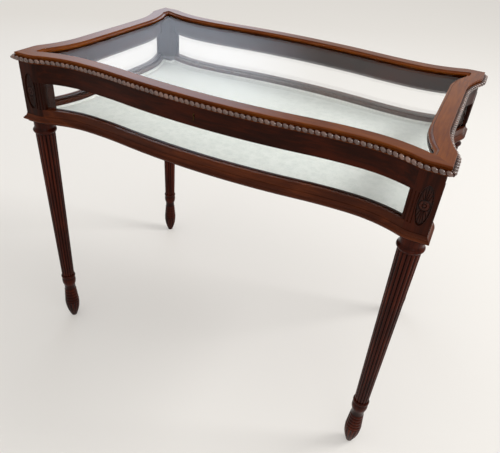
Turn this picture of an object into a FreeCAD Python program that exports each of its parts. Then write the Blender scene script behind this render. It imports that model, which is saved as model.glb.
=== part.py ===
"""Serpentine mahogany display table: turned and reeded legs, a glazed case and a hinged glass lid.

Millimetres. The origin lies on the floor under the middle of the table. X runs along the width,
Y along the depth with the front at -Y, and Z points up. Every plan curve is drawn once for a side
that faces -Y and is then turned into place, and each is a chain of tangent arcs, so that a curve
moved inwards or outwards stays true. "Out" is always a distance outwards from the lid's arris.
"""
import FreeCAD, Part
import os
from math import asin, cos, degrees, pi, radians, sin, sqrt

V = FreeCAD.Vector
UP = V(0, 0, 1)

# Overall form
table_height = 760.0        # floor to the lid's flat face
lid_half_width = 446.0      # middle to the arris of an ear, along X
lid_half_depth = 281.0      # middle to the arris of an ear, along Y
ear_radius = 45.0           # where an ear turns into its hollow
crest_share = 0.67          # share of the reverse curve that belongs to the crest

# Front and back curves
front_ear_width = 31.0
front_hollow_run = 115.0
front_trough_depth = 26.0
front_crest_depth = 6.0

# Left and right curves, hollow at both ends and straight between
side_ear_width = 50.0
side_hollow_run = 119.0
side_trough_depth = 25.5

# Fits
hollow_share = 0.32         # how close the middle of a hollow comes to the corner it curves round
clearance = 0.3             # between neighbours that do not touch
fit = 0.1                   # between glued or bedded neighbours
slip = 0.05                 # round a pin or a plug
far = 60.0                  # how far a cutting shape reaches past what it cuts

# Lid
lid_thickness = 17.5
lid_gap = 0.5               # between the lid and the case
lid_face_width = 29.0       # flat face from the arris to the inner moulding
inner_moulding_width = 7.0
inner_moulding_drop = 4.0
inner_moulding_step = 1.0  # square edge at the top of the slope
lid_lip = 3.0               # thickness of the wood over the glass
lid_glass_thickness = 3.0
glass_bearing = 5.0         # how far the glass runs under the lip
lid_bead_height = 5.0
edge_round = 1.5            # soft arris of the lid
quirk_depth = 1.2           # narrow groove over the gadroons
quirk_height = 1.2

# Gadrooned moulding round the lid's edge
gadroon_projection = 9.0
gadroon_height = 10.5
gadroon_drop = 5.0          # lid's face down to the top of the gadroons

# Case
case_inset = 3.5            # case face inside the lid's arris
post_width = 44.0
post_height = 135.0
apron_height = 41.0
apron_thickness = 16.0
rail_height = 34.0
rail_thickness = 20.0
tenon_length = 8.0
tenon_thickness = 7.0
tenon_setback = 5.0         # from the ear's face to a tenon
tenon_shoulder = 10.0       # above and below a tenon

# Glazing of the case
pane_thickness = 3.0
sight_lip = 6.2             # wood in front of a pane
rebate_depth = 6.0          # how far a pane runs into the apron and the rail
bead_width = 6.0

# Upright reeds beside each opening
reed_strip_width = 18.0
reed_strip_margin = 6.5     # how far the strip reaches past the post
reed_strip_recess = 2.0
reeds_per_strip = 3

# Base moulding
base_projection = 7.0
base_lift = 4.5             # case's bottom to the moulding's underside
base_height = 13.5
base_nose = 6.0             # height of the rounded nose
base_fillet = 1.2           # small step over the nose
base_fillet_setback = 2.5   # from the nose's tip back to the step
base_top_edge = 1.0         # thickness where the hollow meets the case

# Floor of the case
board_thickness = 8.0
board_rebate_width = 8.0
board_rebate_height = 13.0
lining_thickness = 5.0
roll_width = 7.0
roll_height = 7.5

# Carved paterae
patera_width = 24.0
patera_height = 77.0
patera_sink = 2.5
patera_relief = 1.3
patera_boss_radius = 4.5
patera_boss_rise = 0.9
patera_from_corner = 20.0
patera_rise = 4.5           # middle of an oval above the middle of its post

# Legs
leg_tenon_radius = 10.0
leg_tenon_length = 26.0
shaft_top_radius = 22.0
shaft_foot_radius = 16.0
shaft_step = 0.5            # turned ends past the reeds
leg_head_height = 29.0      # case's bottom to the reeds
head_collar = 2.5           # height of the collar over the reeds
head_ring_height = 8.0
head_ring_projection = 4.0  # past the shaft
head_neck_height = 6.0      # height of the hollow over the ring
shaft_foot = 152.0
reed_count = 16
reed_depth = 1.9

# Feet, from the floor up: a fluted toe, beads, a waist, a vase and a ring under the reeds
toe_tip_radius = 7.5
toe_tip_edge = 3.0
toe_belly_radius = 14.8
toe_belly_height = 22.0
toe_radius = 18.8
toe_height = 54.0
bead_count = 5
bead_height = 9.6
bead_projection = 1.3
bead_taper = 0.75           # each bead's root is this much slimmer than the one below
waist_radius = 14.4
vase_radius = 17.8
vase_height = 27.0
ring_neck_radius = 16.4
ring_radius = 18.4
ring_height = 9.0
flute_count = 12
flute_radius = 2.6
flute_depth = 0.9

# Butt hinges
hinge_length = 36.0
hinge_from_corner = 2.0     # from the post's outer face to the hinge
knuckle_radius = 3.0
knuckle_count = 3
pin_radius = 1.2
leaf_thickness = 1.2
leaf_reach = 17.0
axis_below_lid = 1.3
screw_radius = 1.3
screw_head_radius = 2.6
screw_head_depth = 1.1
screw_length = 10.0
screws_per_leaf = 3

# Lock
lock_x = -17.0
lock_width = 46.0
lock_body_width = 30.0
lock_height = 26.0
lock_depth = 9.0
selvedge_thickness = 1.5
bolt_width = 10.0
bolt_thickness = 3.6
bolt_height = 14.0
bolt_travel = 6.0
bolt_clearance = 0.3
strike_width = 32.0
keyhole_radius = 2.6
keyhole_slot = 2.4
keyhole_height = 13.0
escutcheon_wall = 1.2
escutcheon_depth = 3.0

# Derived curves
front_ear_from = lid_half_width - front_ear_width
front_trough_at = front_ear_from - front_hollow_run
side_ear_from = lid_half_depth - side_ear_width
side_trough_at = side_ear_from - side_hollow_run

# Derived heights
lid_bottom = table_height - lid_thickness
case_top = lid_bottom - lid_gap
case_bottom = case_top - post_height
shaft_top = case_bottom - leg_head_height
beads_top = toe_height + bead_count * bead_height
ring_bottom = shaft_foot - ring_height
vase_bottom = ring_bottom - vase_height
patera_centre_height = (case_top + case_bottom) / 2 + patera_rise
apron_bottom = case_top - apron_height
rail_top = case_bottom + rail_height
pane_top = apron_bottom + rebate_depth
pane_bottom = rail_top - rebate_depth
board_top = case_bottom + board_rebate_height
lining_top = board_top + lining_thickness
glass_top = table_height - inner_moulding_drop - lid_lip
glass_bottom = glass_top - lid_glass_thickness
gadroon_top = table_height - gadroon_drop
gadroon_bottom = gadroon_top - gadroon_height

# Derived distances in plan
case_out = -case_inset
sight_out = -lid_face_width - inner_moulding_width
glass_out = sight_out + glass_bearing
pane_out = case_out - sight_lip
apron_in = case_out - apron_thickness
rail_in = case_out - rail_thickness
post_centre_x = lid_half_width - case_inset - post_width / 2
post_centre_y = lid_half_depth - case_inset - post_width / 2
hinge_axis_y = lid_half_depth - case_inset + knuckle_radius + clearance
hinge_axis_z = lid_bottom - axis_below_lid
lock_face_y = front_crest_depth - lid_half_depth - apron_in


class Side:
    """One side of the table, drawn facing -Y, with its ears at half_length and its face at stand."""

    def __init__(self, name, turns, half_length, stand, ear_from, trough_at, trough_depth, crest_depth):
        self.name, self.turns = name, turns
        self.half_length, self.stand = half_length, stand
        self.ear_from, self.trough_at = ear_from, trough_at
        self.trough_depth, self.crest_depth = trough_depth, crest_depth
        run = ear_from - trough_at
        reach = (run ** 2 + trough_depth ** 2) / (2 * trough_depth)
        self.hollow_radius = reach - ear_radius
        self.ear_turn = degrees(asin(run / reach))

    def crest(self):
        """Radii of the crest and of the hollow beside it, and the angle that each turns through."""
        rise = self.trough_depth - self.crest_depth
        reach = (self.trough_at ** 2 + rise ** 2) / (2 * rise)
        return crest_share * reach, (1 - crest_share) * reach, degrees(asin(self.trough_at / reach))

    def half(self, out, reach):
        """Lines and bends from the middle of the side to x = reach, moved outwards by out."""
        at, trough_y = self.trough_at, self.trough_depth - self.stand
        if self.trough_depth > self.crest_depth:
            crest_radius, dip_radius, turn = self.crest()
            middle = [
                Bend((0, crest_radius + self.crest_depth - self.stand), crest_radius, -90, turn - 90, 1),
                Bend((at, trough_y - dip_radius), dip_radius, 90 + turn, 90, -1)]
        else:
            middle = [Line((0, trough_y), (at, trough_y))]
        pieces = middle + [
            Bend((at, trough_y - self.hollow_radius), self.hollow_radius, 90, 90 - self.ear_turn, -1),
            Bend((self.ear_from, ear_radius - self.stand), ear_radius, -90 - self.ear_turn, -90, 1),
            Line((self.ear_from, -self.stand), (reach, -self.stand))]
        return [piece.moved(out) for piece in pieces]

    def edges(self, out, reach):
        """The side's whole outline as edges."""
        right = [piece.edge() for piece in self.half(out, reach)]
        return right + [mirrored(edge) for edge in right]

    def y_at(self, x, out):
        """Where the outline, moved outwards by out, stands at x."""
        for piece in self.half(out, self.half_length):
            if abs(x) <= piece.last_x():
                return piece.y_at(abs(x))
        return -self.stand - out

    def post_edge(self):
        """Distance from the middle of the side to its posts."""
        return self.half_length - case_inset - post_width

    def place(self, shape):
        """Turns a shape that faces -Y to where this side is."""
        shape = shape.copy()
        shape.rotate(V(), UP, 90 * self.turns)
        return shape


class Line:
    """A straight piece of an outline that faces -Y."""

    def __init__(self, start, end):
        self.start, self.end = start, end

    def moved(self, out):
        return Line((self.start[0], self.start[1] - out), (self.end[0], self.end[1] - out))

    def edge(self):
        return Part.makeLine(V(*self.start, 0), V(*self.end, 0))

    def last_x(self):
        return self.end[0]

    def y_at(self, x):
        return self.start[1]

    def run(self, section):
        start, length = self.start, self.end[0] - self.start[0]
        face = section.copy()
        face.rotate(V(), UP, -90)
        face.translate(V(start[0], start[1], 0))
        return face.extrude(V(length, 0, 0))


class Bend:
    """A circular piece of an outline: bulge is 1 where its centre lies inside the table, else -1."""

    def __init__(self, centre, radius, start, end, bulge):
        self.centre, self.radius = centre, radius
        self.start, self.end, self.bulge = start, end, bulge

    def moved(self, out):
        return Bend(self.centre, self.radius + self.bulge * out, self.start, self.end, self.bulge)

    def point(self, angle):
        turn = radians(angle)
        return V(self.centre[0] + self.radius * cos(turn), self.centre[1] + self.radius * sin(turn), 0)

    def edge(self):
        middle = (self.start + self.end) / 2
        return Part.Arc(self.point(self.start), self.point(middle), self.point(self.end)).toShape()

    def last_x(self):
        return self.point(self.end).x

    def y_at(self, x):
        rise = sqrt(self.radius ** 2 - (x - self.centre[0]) ** 2)
        return self.centre[1] - self.bulge * rise

    def run(self, section):
        facing = self.start if self.bulge > 0 else self.start + 180
        face = section.copy()
        face.rotate(V(), UP, facing)
        face.translate(self.point(self.start))
        return face.revolve(V(*self.centre, 0), UP, self.end - self.start)


def mirrored(shape):
    return shape.mirror(V(), V(1, 0, 0))


def joined(solids):
    """Solids that touch, made into one."""
    return solids[0].multiFuse(solids[1:]).removeSplitter()


def box(x, y, z):
    """A block between the pairs of values on each axis."""
    return Part.makeBox(x[1] - x[0], y[1] - y[0], z[1] - z[0], V(x[0], y[0], z[0]))


def section(start, *steps):
    """A closed face in the XZ plane: a pair ends a line, a list holds an arc's middle and end."""
    here, edges = V(start[0], 0, start[1]), []
    for step in steps + (start,):
        if isinstance(step, list):
            middle, end = (V(x, 0, z) for x, z in step)
            edges.append(Part.Arc(here, middle, end).toShape())
        else:
            end = V(step[0], 0, step[1])
            edges.append(Part.makeLine(here, end))
        here = end
    return Part.Face(Part.Wire(edges))


def run_along(side, face):
    """A moulding on one side of the table, mitred at both ears; the face's x is its out."""
    half = joined([piece.run(face) for piece in side.half(0, side.half_length + far)])
    return side.place(joined([half, mirrored(half)]).common(wedge(side)))


def wedge(side):
    """The space that belongs to a side facing -Y, between the mitre planes through its corners."""
    outer_x, inner_x = side.half_length + far, side.half_length - far
    outer_y, inner_y = -side.stand - far, far - side.stand
    corners = [V(-outer_x, outer_y, 0), V(outer_x, outer_y, 0), V(inner_x, inner_y, 0), V(-inner_x, inner_y, 0)]
    return Part.Face(Part.makePolygon(corners + corners[:1])).extrude(V(0, 0, table_height + far))


def slab(side, out, low, high):
    """The space between a side and the one opposite, drawn past the corners."""
    reach = side.half_length + far
    near = side.edges(out, reach)
    opposite = [edge.copy() for edge in near]
    for edge in opposite:
        edge.rotate(V(), UP, 180)
    ends = [Part.makeLine(V(x, -side.stand - out, 0), V(x, side.stand + out, 0)) for x in (-reach, reach)]
    face = Part.Face(Part.Wire(Part.__sortEdges__(near + opposite + ends)))
    face.translate(V(0, 0, low))
    return side.place(face.extrude(V(0, 0, high - low)))


def plate(out, low, high):
    """A slice with the table's whole outline, moved outwards by out."""
    return slab(sides[0], out, low, high).common(slab(sides[1], out, low, high))


def ring(outer, inner, low, high):
    return plate(outer, low, high).cut(plate(inner, low - far, high + far))


def between_posts(side, shape, gap=0.0):
    """The part of a shape that stands between a side's two posts."""
    end = side.post_edge() - gap
    return shape.common(side.place(box((-end, end), (-2 * side.stand, far - side.stand), (0, table_height))))


def post_blocks(growth, low, high):
    """Square blocks on the four posts, larger than them by growth."""
    half = post_width / 2 + growth
    return [box((x - half, x + half), (y - half, y + half), (low, high)) for x, y in post_centres.values()]


def screw(at, direction):
    """A countersunk screw with its head's face at a point, driven along a direction."""
    head = Part.makeCone(screw_head_radius, screw_radius, screw_head_depth, at, direction)
    shank = Part.makeCylinder(screw_radius, screw_length - screw_head_depth, at + direction * screw_head_depth,
                              direction)
    return joined([head, shank])


def upright_oval(width, height, depth):
    """An oval plate that faces -Y, with its face at y = 0 and its middle at the origin."""
    long_half, short_half = height / 2, width / 2
    curve = Part.Ellipse(V(0, 0, long_half), V(short_half, 0, 0), V())
    return Part.Face(Part.Wire(curve.toShape())).extrude(V(0, depth, 0))


def keyhole(radius, slot, height, depth):
    """A round with a slot hanging from it, facing -Y and running back from y = 0."""
    eye = Part.makeCylinder(radius, depth, V(), V(0, 1, 0))
    return joined([eye, box((-slot / 2, slot / 2), (0, depth), (radius - height, 0))])


sides = [
    Side("front", 0, lid_half_width, lid_half_depth, front_ear_from, front_trough_at,
         front_trough_depth, front_crest_depth),
    Side("right", 1, lid_half_depth, lid_half_width, side_ear_from, side_trough_at,
         side_trough_depth, side_trough_depth),
    Side("back", 2, lid_half_width, lid_half_depth, front_ear_from, front_trough_at,
         front_trough_depth, front_crest_depth),
    Side("left", 3, lid_half_depth, lid_half_width, side_ear_from, side_trough_at,
         side_trough_depth, side_trough_depth)]
post_centres = {
    "front_left": (-post_centre_x, -post_centre_y),
    "front_right": (post_centre_x, -post_centre_y),
    "back_left": (-post_centre_x, post_centre_y),
    "back_right": (post_centre_x, post_centre_y)}
parts = {}

# Hinges: the middle knuckle belongs to the lid and the outer two to the case
hinge_cuts = {"case": [], "lid": []}
hinge_screws = {"case": [], "lid": []}
knuckle_length = (hinge_length - (knuckle_count - 1) * clearance) / knuckle_count
for name, way in (("left", -1), ("right", 1)):
    near = lid_half_width - case_inset - hinge_from_corner - hinge_length
    start = near if way > 0 else -near - hinge_length
    axis = V(start, hinge_axis_y, hinge_axis_z)
    pin = Part.makeCylinder(pin_radius, hinge_length, axis, V(1, 0, 0))
    bore = Part.makeCylinder(pin_radius + slip, hinge_length, axis, V(1, 0, 0))
    hinge_cuts["lid"].append(Part.makeCylinder(knuckle_radius + clearance, hinge_length + 2 * clearance,
                                               axis - V(clearance, 0, 0), V(1, 0, 0)))
    parts["hinge_pin_" + name] = pin
    for body, low, down in (("case", case_top - leaf_thickness, -1), ("lid", lid_bottom, 1)):
        knuckles = []
        gaps = []
        for index in range(knuckle_count):
            at = axis + V(index * (knuckle_length + clearance), 0, 0)
            own = (index % 2 == 0) == (body == "case")
            if own:
                knuckles.append(Part.makeCylinder(knuckle_radius, knuckle_length, at, V(1, 0, 0)))
            else:
                gaps.append(Part.makeCylinder(knuckle_radius + clearance, knuckle_length + 2 * clearance,
                                              at - V(clearance, 0, 0), V(1, 0, 0)))
        span_x = (start, start + hinge_length)
        flat = box(span_x, (hinge_axis_y - leaf_reach, hinge_axis_y), (low, low + leaf_thickness))
        leaf = joined([flat.cut(Part.makeCompound(gaps))] + knuckles).cut(bore)
        surface = low if down > 0 else low + leaf_thickness
        for index in range(screws_per_leaf):
            at_x = start + (index + 0.5) * hinge_length / screws_per_leaf
            at_y = hinge_axis_y - leaf_reach * (0.5 if index % 2 else 0.72)
            one = screw(V(at_x, at_y, surface), V(0, 0, down))
            hinge_screws[body].append(one)
            leaf = leaf.cut(one)
        parts["hinge_%s_leaf_%s" % (body, name)] = leaf
        hinge_cuts[body].append(box((span_x[0] - fit, span_x[1] + fit),
                                    (hinge_axis_y - leaf_reach - fit, hinge_axis_y + far),
                                    (low, low + leaf_thickness)))
for body in hinge_screws:
    parts["hinge_screws_" + body] = Part.makeCompound(hinge_screws[body])

# Lock: case and selvedge in one piece, a bolt that rises into the lid, and the plate that catches it
lock_mid_y = lock_face_y - lock_depth / 2
lock_span = (lock_face_y - lock_depth, lock_face_y)
lock_low = case_top - lock_height
lock_cut = joined([
    box((lock_x - lock_body_width / 2, lock_x + lock_body_width / 2), lock_span, (lock_low, case_top)),
    box((lock_x - lock_width / 2, lock_x + lock_width / 2), lock_span,
        (case_top - selvedge_thickness, case_top))])
bolt_top = case_top - clearance
bolt = box((lock_x - bolt_width / 2, lock_x + bolt_width / 2),
           (lock_mid_y - bolt_thickness / 2, lock_mid_y + bolt_thickness / 2),
           (bolt_top - bolt_height, bolt_top))
bolt_room = box((lock_x - bolt_width / 2 - bolt_clearance, lock_x + bolt_width / 2 + bolt_clearance),
                (lock_mid_y - bolt_thickness / 2 - bolt_clearance, lock_mid_y + bolt_thickness / 2 + bolt_clearance),
                (bolt_top - bolt_height - bolt_clearance, bolt_top + bolt_travel + 2 * bolt_clearance))
lock_screw_x = (lock_width + lock_body_width) / 4
lock_screws = [screw(V(lock_x + way * lock_screw_x, lock_mid_y, case_top), V(0, 0, -1)) for way in (-1, 1)]
strike_cut = box((lock_x - strike_width / 2, lock_x + strike_width / 2), lock_span,
                 (lid_bottom, lid_bottom + selvedge_thickness))
strike_screws = [screw(V(lock_x + way * strike_width / 3, lock_mid_y, lid_bottom), V(0, 0, 1)) for way in (-1, 1)]
front_face_y = sides[0].y_at(lock_x, case_out)
keyhole_at = V(lock_x, front_face_y, case_top - apron_height / 2 + keyhole_slot)
outer_keyhole = keyhole(keyhole_radius + escutcheon_wall, keyhole_slot + 2 * escutcheon_wall,
                        keyhole_height + escutcheon_wall, escutcheon_depth)
key_passage = keyhole(keyhole_radius, keyhole_slot, keyhole_height, apron_thickness - lock_depth)
for shape in (outer_keyhole, key_passage):
    shape.translate(keyhole_at)
parts["lock_case"] = lock_cut.cut(Part.makeCompound([bolt_room] + lock_screws))
parts["lock_bolt"] = bolt
parts["lock_strike"] = strike_cut.cut(Part.makeCompound([bolt_room] + strike_screws))
parts["lock_screws"] = Part.makeCompound(lock_screws)
parts["strike_screws"] = Part.makeCompound(strike_screws)
parts["keyhole_escutcheon"] = outer_keyhole.cut(key_passage)

# Lid: four mitred members with an inner moulding, rebated for the glass from below
frame_ring = ring(0, sight_out, lid_bottom, table_height)
frame_ring = frame_ring.cut(plate(glass_out, lid_bottom - far, glass_top))
slope_low = table_height - inner_moulding_drop
slope_height = inner_moulding_drop - inner_moulding_step
slope_end = clearance - ear_radius
slope = section((-lid_face_width, table_height), (-lid_face_width, table_height - inner_moulding_step),
                [(-lid_face_width - inner_moulding_width * hollow_share, slope_low + slope_height * hollow_share),
                 (sight_out, slope_low)],
                (slope_end, slope_low), (slope_end, table_height))
soften = edge_round * (1 - cos(pi / 4))
arris = section((-edge_round, table_height), [(-soften, table_height - soften), (0, table_height - edge_round)],
                (edge_round, table_height - edge_round), (edge_round, table_height + edge_round),
                (-edge_round, table_height + edge_round))
quirk = section((-quirk_depth, gadroon_top), (quirk_depth, gadroon_top), (quirk_depth, gadroon_top + quirk_height),
                (-quirk_depth, gadroon_top + quirk_height))
nose_mid = (gadroon_top + gadroon_bottom) / 2
gadroon = section((fit, gadroon_bottom), (gadroon_projection - gadroon_height / 2, gadroon_bottom),
                  [(gadroon_projection, nose_mid), (gadroon_projection - gadroon_height / 2, gadroon_top)],
                  (fit, gadroon_top))
lid_cuts = hinge_cuts["lid"] + hinge_screws["lid"] + [strike_cut, bolt_room] + strike_screws
for side in sides:
    member = frame_ring.common(side.place(wedge(side)))
    for cutter in (slope, arris, quirk):
        member = member.cut(run_along(side, cutter))
    edging = run_along(side, gadroon)
    if side.name == "back":
        edging = edging.cut(Part.makeCompound(hinge_cuts["lid"]))
    parts["lid_frame_" + side.name] = member.cut(Part.makeCompound(lid_cuts))
    parts["gadroon_" + side.name] = edging
parts["lid_glass"] = plate(glass_out - clearance, glass_bottom, glass_top)
lid_beads = ring(glass_out - fit, sight_out, glass_bottom - lid_bead_height, glass_bottom)
parts["lid_glass_beads"] = Part.makeCompound([lid_beads.common(side.place(wedge(side))) for side in sides])

# Case: curved aprons above the panes and curved rails below them
apron_ring = ring(case_out, apron_in, apron_bottom, case_top)
apron_ring = apron_ring.cut(plate(pane_out, apron_bottom, pane_top))
rail_ring = ring(case_out, rail_in, case_bottom, rail_top)
rail_ring = rail_ring.cut(plate(pane_out, pane_bottom, rail_top))
rail_ring = rail_ring.cut(plate(rail_in + board_rebate_width, case_bottom, board_top))
pane_ring = ring(pane_out - clearance, pane_out - clearance - pane_thickness, pane_bottom + fit, pane_top - fit)
bead_out = pane_out - clearance - pane_thickness - fit
bead_rings = [ring(bead_out, bead_out - bead_width, apron_bottom, pane_top - fit),
              ring(bead_out, bead_out - bead_width, pane_bottom + fit, rail_top)]
base_low = case_bottom + base_lift
nose_x = case_out + base_projection - base_nose / 2
fillet_x = case_out + base_projection - base_fillet_setback
fillet_top = base_low + base_nose + base_fillet
hollow_x = case_out + base_top_edge
base_top = base_low + base_height
base_face = section(
    (case_out + fit, base_low), (nose_x, base_low),
    [(case_out + base_projection, base_low + base_nose / 2), (nose_x, base_low + base_nose)],
    (fillet_x, base_low + base_nose), (fillet_x, fillet_top),
    [(hollow_x + (fillet_x - hollow_x) * hollow_share, fillet_top + (base_top - fillet_top) * hollow_share),
     (hollow_x, base_top)],
    (case_out + fit, base_top))
mortises = []
for side in sides:
    tenon_y = (case_inset + tenon_setback - side.stand, case_inset + tenon_setback + tenon_thickness - side.stand)
    edge = side.post_edge()
    for kind, stock, low, high in (("apron", apron_ring, apron_bottom, case_top),
                                   ("rail", rail_ring, case_bottom, rail_top)):
        tongues = [side.place(box((x, x + tenon_length), tenon_y, (low + tenon_shoulder, high - tenon_shoulder)))
                   for x in (edge, -edge - tenon_length)]
        mortises += tongues
        piece = joined([between_posts(side, stock)] + tongues)
        if kind == "apron" and side.name == "front":
            piece = piece.cut(Part.makeCompound([lock_cut, outer_keyhole, key_passage] + lock_screws))
        parts["%s_%s" % (kind, side.name)] = piece
    parts["pane_" + side.name] = between_posts(side, pane_ring, clearance)
    parts["pane_beads_" + side.name] = Part.makeCompound(
        [between_posts(side, bead, clearance) for bead in bead_rings])
    parts["base_moulding_" + side.name] = run_along(side, base_face)

# Floor: a board screwed up into the rails, and a fabric lining with a rolled edge
board_out = rail_in + board_rebate_width - clearance
board = plate(board_out, board_top - board_thickness, board_top - fit)
board = board.cut(Part.makeCompound(post_blocks(clearance, case_bottom, case_top)))
board_screws = []
for side in sides:
    for x in (-0.5 * side.half_length, 0.5 * side.half_length):
        at = V(x, side.y_at(x, rail_in + board_rebate_width / 2), board_top - board_thickness)
        at = side.place(Part.Vertex(at)).Point
        board_screws.append(screw(at, UP))
parts["floor_board"] = board.cut(Part.makeCompound(board_screws))
parts["floor_screws"] = Part.makeCompound(board_screws)
for side in sides:
    parts["rail_" + side.name] = parts["rail_" + side.name].cut(Part.makeCompound(board_screws))
lining_area = plate(rail_in - clearance, board_top, board_top + roll_height)
lining_area = lining_area.cut(Part.makeCompound(post_blocks(clearance, case_bottom, case_top)))
within_roll = plate(rail_in - clearance - roll_width, case_bottom, case_top)
within_roll = within_roll.cut(Part.makeCompound(post_blocks(clearance + roll_width, case_bottom, case_top)))
parts["lining_roll"] = lining_area.cut(within_roll)
parts["lining_pad"] = within_roll.common(
    box((-lid_half_width, lid_half_width), (-lid_half_depth, lid_half_depth), (board_top, lining_top)))

# Carved oval: a dished plate with a raised rim, four leaves' ground and a round boss
patera = upright_oval(patera_width - 2 * fit, patera_height - 2 * fit, patera_relief)
rim_gap = 2 * patera_relief
hollow = upright_oval(patera_width - 2 * rim_gap, patera_height - 2 * rim_gap, patera_relief / 2)
boss = Part.makeCylinder(patera_boss_radius, patera_relief + patera_boss_rise,
                         V(0, -patera_boss_rise, 0), V(0, 1, 0))
patera = joined([patera.cut(hollow), boss])
patera.translate(V(0, patera_sink - patera_relief, 0))
patera_pocket = upright_oval(patera_width, patera_height, patera_sink)

# Leg: a turned profile, a reeded shaft and a fluted toe, all on the Z axis
ring_low = shaft_top + head_collar
ring_top = ring_low + head_ring_height
ring_root = shaft_top_radius + head_ring_projection / 2
turned_head = section(
    (0, shaft_top), (shaft_top_radius + shaft_step, shaft_top),
    [(shaft_top_radius + head_collar / 2, shaft_top + head_collar / 2), (shaft_top_radius + shaft_step, ring_low)],
    (ring_root, ring_low),
    [(shaft_top_radius + head_ring_projection, ring_low + head_ring_height / 2), (ring_root, ring_top)],
    [(shaft_top_radius + head_ring_projection * hollow_share / 2, ring_top + head_neck_height * hollow_share),
     (shaft_top_radius, ring_top + head_neck_height)],
    (shaft_top_radius, case_bottom), (leg_tenon_radius, case_bottom),
    (leg_tenon_radius, case_bottom + leg_tenon_length), (0, case_bottom + leg_tenon_length))
foot_steps = [(toe_tip_radius, 0), (toe_tip_radius + 1, toe_tip_edge),
              [(toe_belly_radius, toe_belly_height), (toe_radius, toe_height)]]
for index in range(bead_count):
    low = toe_height + index * bead_height
    root = toe_radius - bead_projection - index * bead_taper
    foot_steps += [(root, low), [(root + bead_projection, low + bead_height / 2), (root, low + bead_height)]]
foot_steps += [
    (waist_radius, beads_top), (waist_radius, vase_bottom),
    [(vase_radius, vase_bottom + vase_height / 2), (ring_neck_radius, ring_bottom)],
    [(ring_radius, ring_bottom + ring_height / 2), (shaft_foot_radius + shaft_step, shaft_foot)],
    (0, shaft_foot)]
turned_foot = section((0, 0), *foot_steps)


def reeded_outline(radius, height):
    """A ring of reeds as a closed wire at a height."""
    crest, root = radius, radius * (1 - reed_depth / shaft_top_radius)
    arcs = []
    for index in range(reed_count):
        turns = [2 * pi * (index + share) / reed_count for share in (0, 0.5, 1)]
        points = [V(r * cos(t), r * sin(t), height) for r, t in zip((root, crest, root), turns)]
        arcs.append(Part.Arc(*points).toShape())
    return Part.Wire(arcs)


shaft = Part.makeLoft([reeded_outline(shaft_foot_radius, shaft_foot),
                       reeded_outline(shaft_top_radius, shaft_top)], True, True)
toe = turned_foot.revolve(V(), UP, 360)
flute_out = flute_radius - flute_depth
flute_low = V(toe_tip_radius + 1 + flute_out, 0, toe_tip_edge)
flute_high = V(toe_radius + flute_out, 0, toe_height)
flute_axis = flute_high - flute_low
flutes = []
for index in range(flute_count):
    flute = Part.makeCylinder(flute_radius, flute_axis.Length, flute_low, flute_axis)
    flute.rotate(V(), UP, 360 * index / flute_count)
    flutes.append(flute)
toe = toe.cut(Part.makeCompound(flutes))
leg = joined([toe, shaft, turned_head.revolve(V(), UP, 360)])

# Posts: squares with the case's outline on their outer faces and a strip of reeds beside each opening
outline = plate(case_out, case_bottom, case_top)
leg_room = Part.makeCylinder(leg_tenon_radius + slip, leg_tenon_length + clearance)
reed_radius = reed_strip_width / reeds_per_strip / 2
strip_ring = ring(case_out, pane_out, rail_top, apron_bottom)
recess_ring = ring(case_out + far / 2, case_out - reed_strip_recess, rail_top, apron_bottom)
for name, (x, y) in post_centres.items():
    half = post_width / 2
    way_x, way_y = (1 if x > 0 else -1), (1 if y > 0 else -1)
    core = outline.common(box((x - half, x + half), (y - half, y + half), (case_bottom, case_top)))
    strips, recesses, reeds, ovals = [], [], [], []
    for side in sides:
        along, across = (x, y) if side.turns % 2 == 0 else (y, x)
        facing = {0: y < 0, 1: x > 0, 2: y > 0, 3: x < 0}[side.turns]
        if not facing:
            continue
        end = {0: x, 1: y, 2: -x, 3: -y}[side.turns]
        way = 1 if end > 0 else -1
        inner = side.post_edge() - reed_strip_margin
        outer = inner + reed_strip_width
        span = sorted((way * inner, way * outer))
        lip = sorted((way * inner, way * (side.post_edge() + 1)))
        deep = (-2 * side.stand, 0)
        high = (rail_top, apron_bottom)
        strips.append(strip_ring.common(side.place(box(lip, deep, high))))
        recesses.append(recess_ring.common(side.place(box(span, deep, high))))
        for index in range(reeds_per_strip):
            at_x = way * (inner + (2 * index + 1) * reed_radius)
            at_y = side.y_at(at_x, case_out - reed_radius)
            reeds.append(side.place(Part.makeCylinder(reed_radius, apron_bottom - rail_top,
                                                      V(at_x, at_y, rail_top))))
        oval_x = way * (side.half_length - case_inset - patera_from_corner)
        oval_at = V(oval_x, side.y_at(side.half_length, case_out), patera_centre_height)
        for stock, found in ((patera, ovals), (patera_pocket, recesses)):
            one = stock.copy()
            one.translate(oval_at)
            found.append(side.place(one))
    post = joined([core] + strips).cut(Part.makeCompound(recesses))
    post = joined([post] + reeds)
    tenon_space = leg_room.copy()
    tenon_space.translate(V(x, y, case_bottom))
    cuts = mortises + [tenon_space]
    if way_y > 0:
        cuts += hinge_cuts["case"] + hinge_screws["case"]
    parts["post_" + name] = post.cut(Part.makeCompound(cuts))
    parts["paterae_" + name] = Part.makeCompound(ovals)
    one_leg = leg.copy()
    one_leg.translate(V(x, y, 0))
    parts["leg_" + name] = one_leg

os.makedirs("parts", exist_ok=True)
for name, shape in parts.items():
    shape.exportStep(os.path.join("parts", name + ".step"))
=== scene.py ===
# %% [markdown]
# # A serpentine display table
# The real piece is a glazed case of French-polished mahogany on turned, reeded legs. Its lid is
# hinged at the back and edged with gadrooning. The solids come ready made in the frame. This lesson
# gives them their polish, and makes again in mesh what a carver, a turner or an upholsterer adds.

# %% Load the frame
import bpy
import bmesh
import math
import numpy as np
from mathutils import Matrix, Vector


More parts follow.
